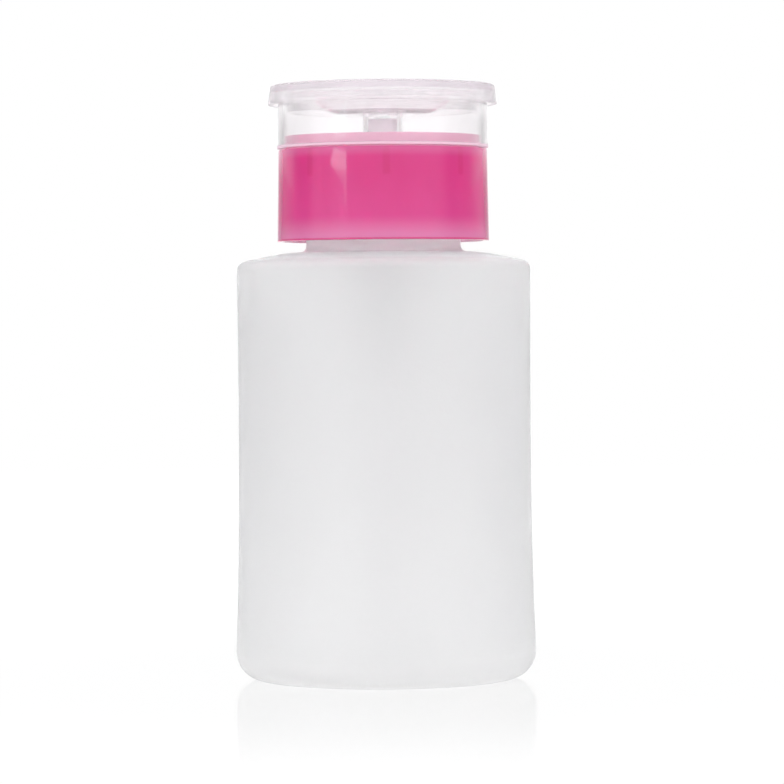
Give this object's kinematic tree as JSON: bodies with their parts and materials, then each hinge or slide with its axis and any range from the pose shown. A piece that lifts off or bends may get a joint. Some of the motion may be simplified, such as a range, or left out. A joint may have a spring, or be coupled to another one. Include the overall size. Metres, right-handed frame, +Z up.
{
  "type": "push-down pump dispenser bottle",
  "caption": "Frosted bottle with a screw closure, a sprung press dish that wets a cotton pad from below, and a clear push-fit lid.",
  "frame": {"origin": "on the bottle's axis, in the plane of the standing ring", "axes": "+Z up along the bottle's axis, -Y towards the picture's viewer"},
  "size_m": [0.0572, 0.0572, 0.113],
  "materials": {
    "frosted_polyethylene": "frosted, translucent, natural polyethylene",
    "pink_plastic": "glossy, slightly translucent pink",
    "clear_plastic": "clear polypropylene, faintly milky",
    "natural_plastic": "natural, uncoloured polypropylene",
    "soft_seal": "soft white polyethylene",
    "spring_steel": "bright drawn stainless wire",
    "valve_glass": "polished glass"
  },
  "bodies": {
    "bottle": {"bottle": "frosted_polyethylene"},
    "pump": {"pump_housing": "natural_plastic", "neck_gasket": "soft_seal", "dip_tube": "natural_plastic", "return_spring": "spring_steel", "stem_guide": "natural_plastic"},
    "inlet_valve": {"inlet_ball": "valve_glass"},
    "press_head": {"press_dish": "clear_plastic", "outlet_cap": "clear_plastic", "pump_stem": "natural_plastic", "piston": "soft_seal"},
    "outlet_valve": {"outlet_ball": "valve_glass"},
    "closure": {"screw_cap": "natural_plastic", "collar_ring": "pink_plastic"},
    "lid": {"lid": "clear_plastic"}
  },
  "joints": [
    {"name": "pump_lift", "type": "slide", "parent": "bottle", "child": "pump", "axis": [0, 0, 1], "range_m": [0, 0.0055]},
    {"name": "closure_turn", "type": "hinge", "parent": "pump", "child": "closure", "pos_m": [0, 0, 0.09995], "axis": [0, 0, 1], "range_deg": [0, 450]},
    {"name": "press_travel", "type": "slide", "parent": "pump", "child": "press_head", "axis": [0, 0, -1], "range_m": [0, 0.0042], "stiffness_N_per_m": 400, "springref_m": -0.004, "deforming": ["return_spring"]},
    {"name": "lid_pull", "type": "slide", "parent": "closure", "child": "lid", "axis": [0, 0, 1], "range_m": [0, 0.02]},
    {"name": "inlet_ball_lift", "type": "slide", "parent": "pump", "child": "inlet_valve", "axis": [0, 0, 1], "range_m": [0, 0.0012]},
    {"name": "outlet_ball_lift", "type": "slide", "parent": "press_head", "child": "outlet_valve", "axis": [0, 0, 1], "range_m": [0, 0.00085]}
  ],
  "couplings": [
    {"joint": "pump_lift", "follows": "closure_turn", "m_per_rad": 0.00067322}
  ]
}
